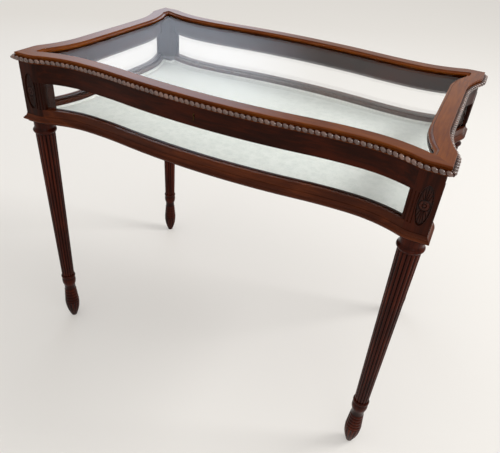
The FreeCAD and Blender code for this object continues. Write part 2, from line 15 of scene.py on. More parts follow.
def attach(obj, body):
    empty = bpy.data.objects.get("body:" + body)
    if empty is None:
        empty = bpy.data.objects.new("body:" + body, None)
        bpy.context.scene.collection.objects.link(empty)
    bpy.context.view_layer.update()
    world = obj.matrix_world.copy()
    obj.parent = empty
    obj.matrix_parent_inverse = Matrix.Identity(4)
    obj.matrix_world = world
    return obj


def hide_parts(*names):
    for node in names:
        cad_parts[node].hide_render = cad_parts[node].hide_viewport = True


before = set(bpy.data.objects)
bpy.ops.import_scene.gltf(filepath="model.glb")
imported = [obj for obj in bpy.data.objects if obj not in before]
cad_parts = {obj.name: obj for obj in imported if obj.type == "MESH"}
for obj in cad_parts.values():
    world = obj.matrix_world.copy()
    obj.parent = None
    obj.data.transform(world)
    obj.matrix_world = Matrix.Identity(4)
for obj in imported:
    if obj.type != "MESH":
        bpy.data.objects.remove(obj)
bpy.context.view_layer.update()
MM = 0.001
QUARTER = math.pi / 2
scene = bpy.context.scene

# %% [markdown]
# ## Colours and nodes
# Colours are picked as sRGB hex values, the way a paint chart gives them. Blender mixes light in
# linear values, so one function converts them all. A second function adds a node with its settings,
# its links and, on a colour ramp, its stops. A third starts a material, and sets what is the same
# all over the surface on the shader's own sockets.

# %% Helpers for materials
def linear(hex_colour):
    values = [int(hex_colour[i:i + 2], 16) / 255 for i in (1, 3, 5)]
    return [v / 12.92 if v <= 0.04045 else ((v + 0.055) / 1.055) ** 2.4 for v in values] + [1.0]


def add_node(tree, kind, inputs=None, stops=None, **settings):
    node = tree.nodes.new(kind)
    for name, value in settings.items():
        setattr(node, name, value)
    for key, value in (inputs or {}).items():
        socket = node.inputs[key]
        if isinstance(value, bpy.types.NodeSocket):
            tree.links.new(value, socket)
        else:
            socket.default_value = value
    if stops:
        elements = node.color_ramp.elements
        while len(elements) < len(stops):
            elements.new(0.5)
        for element, (place, colour) in zip(elements, stops):
            element.position, element.color = place, linear(colour)
    return node


def new_material(name, values):
    material = bpy.data.materials.new(name)
    material.use_nodes = True
    shader = material.node_tree.nodes["Principled BSDF"]
    for socket, value in values.items():
        shader.inputs[socket].default_value = value
    return material, material.node_tree, shader


print("mid grey is", round(linear("#808080")[0], 4), "in linear light")

# %% [markdown]
# ## French-polished mahogany
# Mahogany is sawn so that its grain runs along each piece, and many thin coats of shellac fill its
# pores. To the eye that is long streaks of light and dark along the grain, a broad figure behind
# them, and short dark pores about 0.3 mm wide. Pores that fine vanish at this distance, so they are
# drawn 1 mm wide. A pale room mirrored in the polish would veil the colour, so the gloss is kept
# low. The grain reads Object coordinates, turned so that the streaks run along the piece, and where
# a piece bends, its UV map follows the bend instead. Carving is drawn darker in its hollows, as
# painted shade, and paler on top, as wear with a painted highlight, so carved meshes carry an
# attribute, `crest`, that goes from 0 in a hollow to 1.

# %% Mahogany
GRAIN_TURN = {"X": (0, 0, 0), "Y": (0, 0, QUARTER), "Z": (0, QUARTER, 0)}
FIGURE_MM, PORE_MM = 60.0, 1.0
FIGURE_SHARE = 0.55                       # of the figure in the tone, the rest being streaks
TONE_PLACES = (0.30, 0.47, 0.56, 0.72)
SHELLAC_IOR = 1.52


def mahogany(name, tones, along="X", from_uv=False, roughness=0.3, coat=0.03, level=0.07,
             streak_mm=9.0, pore_tone=0.72, shade_and_wear=None):
    """Tones go from dark to light. The last argument is how much of them a hollow and a crest keep:
    painted shade in a hollow, wear and a painted highlight on a crest.
    """
    material, tree, shader = new_material(name, {
        "Roughness": roughness, "IOR": 1.5, "Specular IOR Level": level, "Coat Weight": coat,
        "Coat Roughness": 0.05, "Coat IOR": SHELLAC_IOR})
    place = add_node(tree, "ShaderNodeTexCoord").outputs["UV" if from_uv else "Object"]
    grain = add_node(tree, "ShaderNodeMapping", {"Vector": place, "Rotation": GRAIN_TURN[along]})
    drawn = {}
    for key, size_mm, stretch, detail in (
            ("streak", streak_mm, 14, 5), ("figure", FIGURE_MM, 3, 3), ("pore", PORE_MM, 22, 2)):
        lengthwise = add_node(tree, "ShaderNodeMapping", {
            "Vector": grain.outputs["Vector"], "Scale": (1 / stretch, 1, 1)})
        drawn[key] = add_node(tree, "ShaderNodeTexNoise", {
            "Vector": lengthwise.outputs["Vector"], "Scale": 1 / (size_mm * MM),
            "Detail": detail, "Roughness": 0.6, "Distortion": 0.3}).outputs["Fac"]
    blend = add_node(tree, "ShaderNodeMix", {
        0: FIGURE_SHARE, 2: drawn["streak"], 3: drawn["figure"]}).outputs[0]
    colour = add_node(tree, "ShaderNodeValToRGB", {"Fac": blend},
                      stops=list(zip(TONE_PLACES, tones))).outputs["Color"]
    pores = add_node(tree, "ShaderNodeMapRange", {
        0: drawn["pore"], 1: 0.30, 2: 0.44, 3: pore_tone, 4: 1.0}).outputs[0]
    tone = add_node(tree, "ShaderNodeMix", {0: 1.0, 6: colour, 7: pores},
                    data_type="RGBA", blend_type="MULTIPLY").outputs[2]
    # Painted shade darkens the hollows of carving, and wear with a painted highlight lightens its
    # crests.
    if shade_and_wear:
        crest = add_node(tree, "ShaderNodeAttribute", attribute_name="crest").outputs["Fac"]
        lift = add_node(tree, "ShaderNodeMapRange", {
            0: crest, 3: shade_and_wear[0], 4: shade_and_wear[1]}).outputs[0]
        tone = add_node(tree, "ShaderNodeMix", {0: 1.0, 6: tone, 7: lift},
                        data_type="RGBA", blend_type="MULTIPLY").outputs[2]
    tree.links.new(tone, shader.inputs["Base Color"])
    bump = add_node(tree, "ShaderNodeBump", {
        "Strength": 0.12, "Distance": 0.2 * MM, "Height": pores})
    tree.links.new(bump.outputs["Normal"], shader.inputs["Normal"])
    return material


def both_ways(name, tones, **looks):
    """The same wood twice, with its grain along the width and along the depth."""
    return [mahogany(name + " along the " + way, tones, axis, **looks)
            for way, axis in (("width", "X"), ("depth", "Y"))]


print("figure", FIGURE_MM, "mm across, pores", PORE_MM, "mm across")

# %% The woods of this table
# Polish on the aprons, the mouldings and the carving is a deep brown red, darkened further as
# painted shade, since these faces turn away from the light.
deep = ("#180500", "#280A01", "#361002", "#471704")
width_wood, depth_wood = both_ways("mahogany polished, grain", deep)
# The core behind the gadroons shows between the lobes, and its dark wood is painted shade there.
carved_wood = mahogany("mahogany polished, behind the gadroons", deep, "X", from_uv=True,
                       streak_mm=5.0)
# The carved ovals get painted shade in their hollows, and wear with a painted highlight on their
# crests.
carved_upright = mahogany("mahogany polished, carved ovals", deep, "Z", roughness=0.35,
                          level=0.15, streak_mm=5.0, shade_and_wear=(0.25, 1.3))
# The posts are darker still, as painted shade, and the turned legs redder, with wear and a painted
# highlight on the reeds, and painted shade in the grooves.
upright_wood = mahogany("mahogany polished, upright grain",
                        ("#140401", "#260B03", "#361104", "#4A1A08"), "Z")
leg_wood = mahogany("mahogany polished, turned legs",
                    ("#2C0C04", "#461608", "#5C200B", "#742F12"), "Z",
                    roughness=0.25, streak_mm=6.0, shade_and_wear=(0.1, 0.72))
# The lower rails are lighter and ruddier, as painted light, since they are lit from above.
rail_tones_painted_light = ("#301208", "#441D0C", "#552711", "#683417")
rail_width_wood, rail_depth_wood = both_ways("mahogany polished, lower rails", rail_tones_painted_light)
# The lid's frame faces the sun, which fades mahogany to gold and makes its grain look finer.
golden = ("#522104", "#602B05", "#6E3607", "#7F430B")
golden_width, golden_depth = both_ways("mahogany faded golden, grain", golden, roughness=0.22,
                                       coat=0.05, level=0.08, streak_mm=4.0, pore_tone=0.88)
# Hands and dusters rub the gadroons pale and bright, so here the gloss is high.
worn = ("#321C14", "#4F3328", "#69483A", "#866151")
lobe_wood = mahogany("mahogany rubbed pale by dusting, gadroons", worn, "Z", roughness=0.22,
                     coat=0.8, level=0.5, streak_mm=12.0)
# Under the lining the floor board is plain cedar, dry and dull.
bare_wood = mahogany("cedar unpolished, inside faces",
                     ("#2A140A", "#4A2817", "#5C3520", "#71452B"), "X", roughness=0.6, coat=0.0)
print("mahogany materials:", len([m for m in bpy.data.materials if "mahogany" in m.name]))

# %% [markdown]
# ## Glass, brass and steel
# The lid and the sides hold clear soda-lime glass, IOR 1.52. What is seen through a thin flat sheet
# is hardly moved, so the body bends almost nothing, at IOR 1.01, and the coat, at 1.52, is the
# mirror on its faces. Alpha makes most of the sheet plain clear, which also lets the light in, and
# a faint smear varies its gloss. The butts and the lock are cast brass, polished and then handled,
# so their gloss varies in soft patches.

# %% Glass and metals
SHEET_IOR, GLASS_IOR = 1.01, 1.52
SMEAR_SCALE, HANDLED_SCALE = 9.0, 180.0   # patches about 110 mm and 6 mm across


def clear_glass(name):
    material, tree, shader = new_material(name, {
        "Base Color": linear("#FBFCFB"), "IOR": SHEET_IOR, "Transmission Weight": 1.0,
        "Alpha": 0.16, "Coat Weight": 1.0, "Coat IOR": GLASS_IOR, "Coat Roughness": 0.05})
    place = add_node(tree, "ShaderNodeTexCoord").outputs["Object"]
    patches = add_node(tree, "ShaderNodeTexNoise", {
        "Vector": place, "Scale": SMEAR_SCALE, "Detail": 3.0}).outputs["Fac"]
    smear = add_node(tree, "ShaderNodeMapRange", {0: patches, 1: 0.3, 2: 0.8, 3: 0.0, 4: 0.02})
    tree.links.new(smear.outputs[0], shader.inputs["Roughness"])
    return material


def metal(name, colour, dull):
    material, tree, shader = new_material(name, {"Metallic": 1.0})
    place = add_node(tree, "ShaderNodeTexCoord").outputs["Object"]
    patches = add_node(tree, "ShaderNodeTexNoise", {
        "Vector": place, "Scale": HANDLED_SCALE, "Detail": 4.0}).outputs["Fac"]
    tone = add_node(tree, "ShaderNodeValToRGB", {"Fac": patches},
                    stops=[(0.35, dull), (0.62, colour)])
    gloss = add_node(tree, "ShaderNodeMapRange", {0: patches, 1: 0.3, 2: 0.7, 3: 0.42, 4: 0.2})
    tree.links.new(tone.outputs["Color"], shader.inputs["Base Color"])
    tree.links.new(gloss.outputs[0], shader.inputs["Roughness"])
    return material


lid_sheet = clear_glass("soda-lime glass, lid")
side_sheet = clear_glass("soda-lime glass, curved sides")
brass = metal("brass, polished and handled", "#C9A15A", "#8A6A34")
old_brass = metal("brass, aged brown", "#4C3A1A", "#2A1E0D")
steel = metal("steel, screw heads", "#8D8A86", "#5B5753")
print("glass and metals ready")

# %% [markdown]
# ## The plan curve
# Every moulding follows the same plan: a square ear at each corner, a hollow beside it, and then a
# long crest on the front and back or a straight run on the ends. A cabinet maker sets this out once
# with compasses, as arcs that run smoothly into each other, and so do these cells. Each side is
# drawn facing the front and is then turned into place. Its sizes are in millimetres from the
# table's middle: the arris's half length and how far off it stands, where the ear ends, where the
# hollow is deepest and how deep it is, and how far the crest stays behind the ear.

# %% Sizes of the plan
EAR_RADIUS = 45.0
CREST_SHARE = 0.67                        # the crest's part of both its arcs' radii together
WIDE = dict(half=446.0, stand=281.0, ear=415.0, trough=300.0, deep=26.0, crest=6.0)
END = dict(half=281.0, stand=446.0, ear=231.0, trough=112.0, deep=25.5, crest=25.5)
SIDES = {"front": dict(WIDE, turns=0), "right": dict(END, turns=1),
         "back": dict(WIDE, turns=2), "left": dict(END, turns=3)}


def arc_points(centre, radius, start, end, bulge, step=3.0):
    """Points on an arc with their outward directions, as rows of x, y, outward x, outward y."""
    count = max(3, int(abs(end - start) * radius / step) + 1)
    turn = np.linspace(start, end, count)
    return np.stack([centre[0] + radius * np.cos(turn), centre[1] + radius * np.sin(turn),
                     bulge * np.cos(turn), bulge * np.sin(turn)], axis=1)


def line_points(start, end, step=4.0):
    """The same rows for a straight run along X, which faces -Y."""
    count = max(2, int(abs(end[0] - start[0]) / step) + 1)
    x = np.linspace(start[0], end[0], count)
    return np.stack([x, np.full(count, start[1]), np.zeros(count), -np.ones(count)], axis=1)


print("a quarter turn of the ear has", len(arc_points((0, 0), EAR_RADIUS, 0, QUARTER, 1)), "points")

# %% Set out one side
def set_out(side, overrun=14.0):
    """The plan of one side facing -Y, from its left end to its right end."""
    run, deep, at = side["ear"] - side["trough"], side["deep"], side["trough"]
    reach = (run ** 2 + deep ** 2) / (2 * deep)
    ear_turn = math.asin(run / reach)
    low, rise = deep - side["stand"], deep - side["crest"]
    if rise > 0:
        long_reach = (at ** 2 + rise ** 2) / (2 * rise)
        turn = math.asin(at / long_reach)
        crest, dip = CREST_SHARE * long_reach, (1 - CREST_SHARE) * long_reach
        rows = [arc_points((0, crest + side["crest"] - side["stand"]), crest,
                           -QUARTER, turn - QUARTER, 1),
                arc_points((at, low - dip), dip, QUARTER + turn, QUARTER, -1)]
    else:
        rows = [line_points((0, low), (at, low))]
    hollow = reach - EAR_RADIUS
    rows += [arc_points((at, low - hollow), hollow, QUARTER, QUARTER - ear_turn, -1),
             arc_points((side["ear"], EAR_RADIUS - side["stand"]), EAR_RADIUS,
                        -QUARTER - ear_turn, -QUARTER, 1),
             line_points((side["ear"], -side["stand"]), (side["half"] + overrun, -side["stand"]))]
    right = np.concatenate([rows[0]] + [part[1:] for part in rows[1:]])
    left = right[:0:-1] * np.array([-1, 1, -1, 1])
    return np.concatenate([left, right])


def moved_out(side, out, clamp=True):
    """The side's plan moved outwards, with what runs past its mitres drawn back to them."""
    plan = set_out(side)
    points = plan[:, :2] + plan[:, 2:] * out
    if not clamp:
        return points
    spare = (side["half"] - abs(points[:, 0])) - (side["stand"] - abs(points[:, 1]))
    middle = len(points) // 2
    for order in (list(range(middle, len(points))), list(range(middle, -1, -1))):
        for before, here in zip(order, order[1:]):
            if spare[here] < 0:
                share = spare[before] / (spare[before] - spare[here])
                stop = points[before] + share * (points[here] - points[before])
                points[order[order.index(here):]] = stop
                break
    return points


def turned(points, turns):
    """Points turned by quarter turns about the table's middle."""
    points = np.array(points, float)
    for _ in range(turns):
        points[..., 0], points[..., 1] = -points[..., 1].copy(), points[..., 0].copy()
    return points


front_plan = moved_out(SIDES["front"], 0)
print("front plan:", len(front_plan), "points from", front_plan[0].round(1), "to",
      front_plan[-1].round(1))

# %% [markdown]
# ## Running a moulding
# A moulding is one section run along the plan. Each corner of the section keeps its own distance
# from the arris, so its path is the plan moved in or out, and paths that pass the mitre stop on it.
# The UV map counts millimetres along the run and round the section, so that the grain follows the
# curve.

# %% Make a mesh
def placed(name, data):
    """A new object in the scene, at the origin."""
    item = bpy.data.objects.new(name, data)
    scene.collection.objects.link(item)
    return item


def make_object(name, vertices, faces, material, uv=None, angle=35.0, crest=None):
    """A mesh from points in mm, with doubled points merged, and edges sharper than the angle kept
    sharp.
    """
    mesh = bpy.data.meshes.new(name)
    points = [tuple(v) for v in np.asarray(vertices, float) * MM]
    mesh.from_pydata(points, [], [list(f) for f in faces])
    if uv is not None:
        layer = mesh.uv_layers.new(name="run")
        corners = [loop.vertex_index for loop in mesh.loops]
        layer.data.foreach_set("uv", (np.asarray(uv, float)[corners] * MM).ravel())
    if crest is not None:
        heights = mesh.attributes.new("crest", "FLOAT", "POINT")
        heights.data.foreach_set("value", np.ravel(crest).astype(np.float32))
    mesh.materials.append(material)
    tidy = bmesh.new()
    tidy.from_mesh(mesh)
    bmesh.ops.remove_doubles(tidy, verts=tidy.verts, dist=2e-6)
    bmesh.ops.recalc_face_normals(tidy, faces=tidy.faces)
    tidy.to_mesh(mesh)
    tidy.free()
    mesh.shade_smooth()
    if angle:
        mesh.set_sharp_from_angle(angle=math.radians(angle))
    return placed(name, mesh)


def grid_faces(rows, columns, close_columns=True):
    """Quads between neighbouring points of a grid, numbered row by row."""
    last = columns if close_columns else columns - 1
    return [(r * columns + c, r * columns + (c + 1) % columns,
             (r + 1) * columns + (c + 1) % columns, (r + 1) * columns + c)
            for r in range(rows - 1) for c in range(last)]


print("a closed grid of 3 rows and 4 columns has", len(grid_faces(3, 4)), "faces")

# %% Draw a section
def bow(start, middle, end, count):
    """Points on the arc through three points, without the first."""
    (ax, ay), (bx, by), (cx, cy) = start, middle, end
    cross = 2 * (ax * (by - cy) + bx * (cy - ay) + cx * (ay - by))
    a2, b2, c2 = ax * ax + ay * ay, bx * bx + by * by, cx * cx + cy * cy
    ox = (a2 * (by - cy) + b2 * (cy - ay) + c2 * (ay - by)) / cross
    oy = (a2 * (cx - bx) + b2 * (ax - cx) + c2 * (bx - ax)) / cross
    first, mid, last = (math.atan2(y - oy, x - ox) for x, y in (start, middle, end))
    sweep = (last - first) % (2 * math.pi)
    if (mid - first) % (2 * math.pi) > sweep:
        sweep -= 2 * math.pi
    radius = math.dist((ox, oy), start)
    turns = [first + sweep * k / count for k in range(1, count + 1)]
    return [(ox + radius * math.cos(turn), oy + radius * math.sin(turn)) for turn in turns]


def profile(start, *steps, count=6):
    """A drawn line: a pair ends a straight stretch, a list holds an arc's middle and end."""
    points = [start]
    for step in steps:
        points += bow(points[-1], *step, count) if isinstance(step, list) else [step]
    return points


print("a quarter round has", len(profile((0, 0), [(0.3, 0.7), (1, 1)])), "points")

# %% Run a section along a side
SIDE_APART = 1900                         # mm between two sides' grain, so that none repeats


def distances(points):
    """How far along a line each of its points is."""
    return np.concatenate([[0], np.cumsum(np.hypot(*np.diff(points, axis=0).T))])


def run_moulding(name, side, section, material):
    """Runs a closed section, a list of (out, height), along one side between its mitres."""
    paths = [moved_out(side, out) for out, _ in section]
    rows, columns = len(paths[0]), len(section)
    vertices = np.zeros((rows, columns, 3))
    for column, (path, (_, height)) in enumerate(zip(paths, section)):
        vertices[:, column, :2] = path
        vertices[:, column, 2] = height
    along, around = distances(paths[0]) + SIDE_APART * side["turns"], distances(section)
    uv = np.stack(np.broadcast_arrays(along[:, None], around[None, :]), axis=-1)
    first_end, last_end = range(columns)[::-1], range((rows - 1) * columns, rows * columns)
    faces = grid_faces(rows, columns) + [tuple(first_end), tuple(last_end)]
    vertices = turned(vertices, side["turns"])
    return make_object(name, vertices.reshape(-1, 3), faces, material, uv.reshape(-1, 2))


print("the front's arris is", round(distances(front_plan)[-1]), "mm long round its curves")

# %% [markdown]
# ## Gadrooned edge
# Gadrooning is a row of slanted lobes that a carver cuts one by one with gouges into a rounded
# moulding. Each lobe is a bead that wraps over the nose, wide in its middle and narrow at its ends.
# The same lobe comes back every 11 mm along a curve, so it is modelled once, and a Geometry Nodes
# tree sets copies along the edge of the lid. A plain core behind the lobes closes the gaps between
# them, and its dark wood shows in those gaps as painted shade.

# %% One lobe
LOBE_PITCH = 11.2
NOSE = (3.9, 749.75)                      # middle of the nose: out from the arris, and height
LOBE_START, LOBE_SWEEP = -88, 213         # degrees round the nose, from under it over its top
LOBE_SLANT = 0.45                         # how far a lobe leans, in pitches
LOBE_ROOT, LOBE_SWELL = 2.0, 3.05         # radius round the nose at the gaps, and a lobe's rise
LOBE_SQUASH = 0.88                        # its height against its depth


def lobe_mesh(around=10, across=6):
    """A slanted lobe over the nose, with its middle over the path's point."""
    vertices = []
    for i in range(around + 1):
        v = i / around
        turn = math.radians(LOBE_START + LOBE_SWEEP * v)
        width = LOBE_PITCH * (0.6 + 0.38 * math.sin(math.pi * v) ** 0.6)
        lean = LOBE_SLANT * LOBE_PITCH * (0.5 - v)
        for j in range(across + 1):
            u = j / across - 0.5
            radius = LOBE_ROOT + LOBE_SWELL * max(0.0, 1 - (2 * u) ** 2) ** 0.5
            vertices.append((width * u + lean, -radius * math.cos(turn),
                             LOBE_SQUASH * radius * math.sin(turn)))
    faces = grid_faces(around + 1, across + 1, close_columns=False)
    return make_object("lobe pattern", vertices, faces, lobe_wood, angle=0)


pattern = lobe_mesh()
print("a lobe has", len(pattern.data.polygons), "faces")

# %% The tree that repeats it
def node_tree(name, inputs):
    tree = bpy.data.node_groups.new(name, "GeometryNodeTree")
    sockets = tree.interface
    sockets.new_socket("Geometry", in_out="INPUT", socket_type="NodeSocketGeometry")
    for label, kind in inputs:
        sockets.new_socket(label, in_out="INPUT", socket_type=kind)
    sockets.new_socket("Geometry", in_out="OUTPUT", socket_type="NodeSocketGeometry")
    return tree, tree.nodes.new("NodeGroupInput"), tree.nodes.new("NodeGroupOutput")


def repeat_tree():
    """Sets copies of a pattern object along a path, a pitch apart, facing out from it."""
    tree, given, result = node_tree("repeat along a path", (
        ("Pattern", "NodeSocketObject"), ("Pitch", "NodeSocketFloat"),
        ("Finish", "NodeSocketMaterial")))
    curve = add_node(tree, "GeometryNodeMeshToCurve", {"Mesh": given.outputs["Geometry"]})
    length = add_node(tree, "GeometryNodeCurveLength", {"Curve": curve.outputs["Curve"]})
    share = add_node(tree, "ShaderNodeMath", {0: length.outputs[0], 1: given.outputs["Pitch"]},
                     operation="DIVIDE")
    whole = add_node(tree, "ShaderNodeMath", {0: share.outputs[0]}, operation="ROUND")
    points = add_node(tree, "GeometryNodeResampleCurve", {
        "Curve": curve.outputs["Curve"], "Count": whole.outputs[0]}, mode="COUNT")
    tangent = add_node(tree, "GeometryNodeInputTangent")
    turn = add_node(tree, "FunctionNodeAlignRotationToVector", {"Vector": tangent.outputs[0]},
                    axis="X", pivot_axis="Z")
    pattern = add_node(tree, "GeometryNodeObjectInfo", {"Object": given.outputs["Pattern"]})
    copies = add_node(tree, "GeometryNodeInstanceOnPoints", {
        "Points": points.outputs["Curve"], "Instance": pattern.outputs["Geometry"],
        "Rotation": turn.outputs["Rotation"]})
    real = add_node(tree, "GeometryNodeRealizeInstances", {
        "Geometry": copies.outputs["Instances"]})
    done = add_node(tree, "GeometryNodeSetMaterial", {
        "Geometry": real.outputs["Geometry"], "Material": given.outputs["Finish"]})
    tree.links.new(done.outputs["Geometry"], result.inputs["Geometry"])
    return tree


def grown(piece, tree, **values):
    """Adds a node tree to an object, sets its named inputs, and returns the plain mesh."""
    modifier = piece.modifiers.new(tree.name, "NODES")
    modifier.node_group = tree
    for socket in tree.interface.items_tree:
        if socket.in_out == "INPUT" and socket.name in values:
            modifier[socket.identifier] = values[socket.name]
    bpy.context.view_layer.update()
    evaluated = piece.evaluated_get(bpy.context.evaluated_depsgraph_get())
    mesh = bpy.data.meshes.new_from_object(evaluated)
    piece.modifiers.remove(modifier)
    return mesh


along_path = repeat_tree()
print("the tree has", len(along_path.nodes), "nodes")

# %% A path for the lobes, and one object from two
def path_object(name, points, height):
    """A bare line of edges at one height."""
    mesh = bpy.data.meshes.new(name)
    line = [(x * MM, y * MM, height * MM) for x, y in points]
    mesh.from_pydata(line, [(k, k + 1) for k in range(len(line) - 1)], [])
    return placed(name, mesh)


def evenly(points, spacing):
    """Points a given distance apart along a line, at the middle of each step."""
    steps = np.hypot(*np.diff(points, axis=0).T)
    points = points[np.concatenate([[True], steps > 1e-6])]
    along = distances(points)
    count = round(along[-1] / spacing)
    wanted = (np.arange(count) + 0.5) * along[-1] / count
    return np.stack([np.interp(wanted, along, points[:, axis]) for axis in (0, 1)], axis=1)


def joined(name, pieces, materials):
    """One object from several, each with its own material."""
    whole = bmesh.new()
    for index, piece in enumerate(pieces):
        for face in piece.data.polygons:
            face.material_index = index
        whole.from_mesh(piece.data)
    mesh = bpy.data.meshes.new(name)
    whole.to_mesh(mesh)
    whole.free()
    for material in materials:
        mesh.materials.append(material)
    for piece in pieces:
        bpy.data.objects.remove(piece)
    return placed(name, mesh)


front_nose = evenly(moved_out(SIDES["front"], NOSE[0]), LOBE_PITCH)
print("the front edge takes", len(front_nose), "lobes")

# %% Carve the four edges
core = profile((0.1, 744.6), (3.0, 745.6), [(6.4, 749.5), (3.0, 752.8)], (0.1, 753.0), count=8)
for side_name, side in SIDES.items():
    strip = run_moulding("core", side, core, carved_wood)
    line = evenly(moved_out(side, NOSE[0]), LOBE_PITCH)
    path = path_object("lobe path", turned(line, side["turns"]), NOSE[1])
    lobes = placed("lobes", grown(path, along_path, Pattern=pattern, Pitch=LOBE_PITCH * MM,
                                  Finish=lobe_wood))
    bpy.data.objects.remove(path)
    edge = joined("gadrooned_edge_" + side_name, [strip, lobes], [carved_wood, lobe_wood])
    edge.data.set_sharp_from_angle(angle=math.radians(50))
    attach(edge, "lid")
    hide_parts("gadroon_" + side_name)
    print(side_name, "edge:", len(line), "lobes,", len(edge.data.polygons), "faces")
bpy.data.objects.remove(pattern)

# %% [markdown]
# ## Turned and reeded legs
# A leg is turned on a lathe, then the sixteen reeds are cut along the taper and end in small round
# tips, and the toe gets twelve flutes. A surface that goes once round an axis with a radius that
# changes with height and angle says all of that in one formula, so the leg is a grid of such
# points. The turner's line comes first: the toe, five beads, a neck, the shaft and the collar.

# %% The turner's line
SHAFT_FOOT, SHAFT_TOP, CASE_BOTTOM = 152.0, 578.0, 607.0
TOP_RADIUS, FOOT_RADIUS, TOE_RADIUS = 22.0, 16.0, 18.8
TOE_TOP = 54.0
BEADS, BEAD_HEIGHT, BEAD_SWELL, BEAD_TAPER = 5, 9.6, 1.3, 0.75
toe_line = profile((0.0, 0.0), (7.5, 0.0), (8.5, 3.0), [(14.8, 22.0), (TOE_RADIUS, TOE_TOP)],
                   count=12)
bead_line = []
for bead in range(BEADS):
    low, root = TOE_TOP + bead * BEAD_HEIGHT, TOE_RADIUS - BEAD_SWELL - BEAD_TAPER * bead
    bead_line += profile((root, low), [(root + BEAD_SWELL, low + BEAD_HEIGHT / 2),
                                       (root, low + BEAD_HEIGHT)], count=8)
neck_line = profile((14.4, 102.0), (14.4, 116.0), [(17.8, 129.5), (16.4, 143.0)],
                    [(18.4, 147.5), (16.5, SHAFT_FOOT)], count=8)
collar_line = profile(
    (22.5, SHAFT_TOP), [(23.25, 579.25), (22.5, 580.5)], (24.0, 580.5),
    [(26.0, 584.5), (24.0, 588.5)], [(22.64, 590.4), (22.0, 594.5)],
    (22.0, CASE_BOTTOM), (0.0, CASE_BOTTOM), count=7)

# Rows of the shaft crowd together at both its ends, where the reeds have their round tips.
ease = 5 * (1 - np.cos(np.linspace(0.2, QUARTER, 6)))
shaft_heights = np.concatenate([
    SHAFT_FOOT + ease, np.linspace(162, 568, 30), (SHAFT_TOP - ease)[::-1]])
shaft_line = [(np.interp(height, (SHAFT_FOOT, SHAFT_TOP), (FOOT_RADIUS, TOP_RADIUS)), height)
              for height in shaft_heights]
leg_line = np.array(toe_line + bead_line + neck_line + shaft_line + collar_line)
print("the turner's line has", len(leg_line), "points")

# %% Turn and reed the legs
REEDS, REED_DEPTH, REED_TIP = 16, 2.4, 4.0
FLUTES, FLUTE_DEPTH = 12, 1.5


def leg_object(name, centre, steps=192):
    height, turn = leg_line[:, 1], np.linspace(0, 2 * math.pi, steps, endpoint=False)
    radius = np.repeat(leg_line[:, :1], steps, axis=1)

    # Reeds stand between grooves, and end in round tips.
    reed = abs(np.sin(REEDS * turn / 2)) ** 0.75
    tip = np.clip(np.minimum(height - SHAFT_FOOT, SHAFT_TOP - height) / REED_TIP, 0, 1)
    tip = np.sqrt(np.clip(1 - (1 - tip) ** 2, 0, 1))
    on_shaft = (height > SHAFT_FOOT + 0.05) & (height < SHAFT_TOP - 0.05)
    depth = (1 - reed)[None, :] * tip[:, None] + (1 - tip[:, None])
    radius = np.where(on_shaft[:, None], radius - REED_DEPTH * radius / TOP_RADIUS * depth, radius)

    # Flutes fade out at both ends of the toe.
    on_toe = np.clip((height - 3) / 5, 0, 1) * np.clip((TOE_TOP - height) / 4, 0, 1)
    flute = np.clip(np.cos(FLUTES * turn), -0.2, 1) + 0.2
    radius = radius - FLUTE_DEPTH * on_toe[:, None] * flute[None, :] * (radius / TOE_RADIUS)

    # Reeds, rings and the ridges of the toe are rubbed, and get a painted highlight. Grooves,
    # hollows and flutes get painted shade.
    groove = np.clip(np.gradient(np.gradient(leg_line[:, 0])) * 1.2, 0, 0.45)
    crest = np.where(on_shaft[:, None], reed[None, :] ** 1.5, 0.65 - groove[:, None])
    fluted = 0.75 - 0.6 * flute[None, :] * on_toe[:, None]
    crest = np.where(on_toe[:, None] > 0, fluted, crest)
    vertices = np.stack([centre[0] + radius * np.cos(turn), centre[1] + radius * np.sin(turn),
                         np.repeat(height[:, None], steps, axis=1)], axis=-1)
    return make_object(name, vertices.reshape(-1, 3), grid_faces(len(leg_line), steps), leg_wood,
                       angle=42, crest=crest)


LEG_X, LEG_Y = 420.5, 255.5
CORNERS = {"front_left": (-1, -1), "front_right": (1, -1), "back_left": (-1, 1),
           "back_right": (1, 1)}
for corner, (way_x, way_y) in CORNERS.items():
    leg = leg_object("turned_leg_" + corner, (way_x * LEG_X, way_y * LEG_Y))
    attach(leg, "case")
    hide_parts("leg_" + corner)
print("a leg has", len(leg.data.polygons), "faces")

# %% [markdown]
# ## Carved ovals
# Each post carries an oval patera in a shallow sinking: a raised rim, leaves that fan out from the
# middle, and a round flower with a boss. Carving in low relief is a height over a flat ground, so
# the oval is a grid of rings and spokes pushed out by one formula.

# %% The carving's relief
HALF_TALL, HALF_WIDE, SINK, RIM = 38.5, 12.0, 2.5, 1.5
LEAVES, LEAF_HEIGHT, LEAF_START = 7, 1.5, 11.0
PETALS, PETAL_HEIGHT, FLOWER_RADIUS = 4, 2.1, 9.6
BOSS_HEIGHT, BOSS_RADIUS = 2.5, 3.4
SPARE = 0.15                              # carving's least thickness, and its gap to the rim


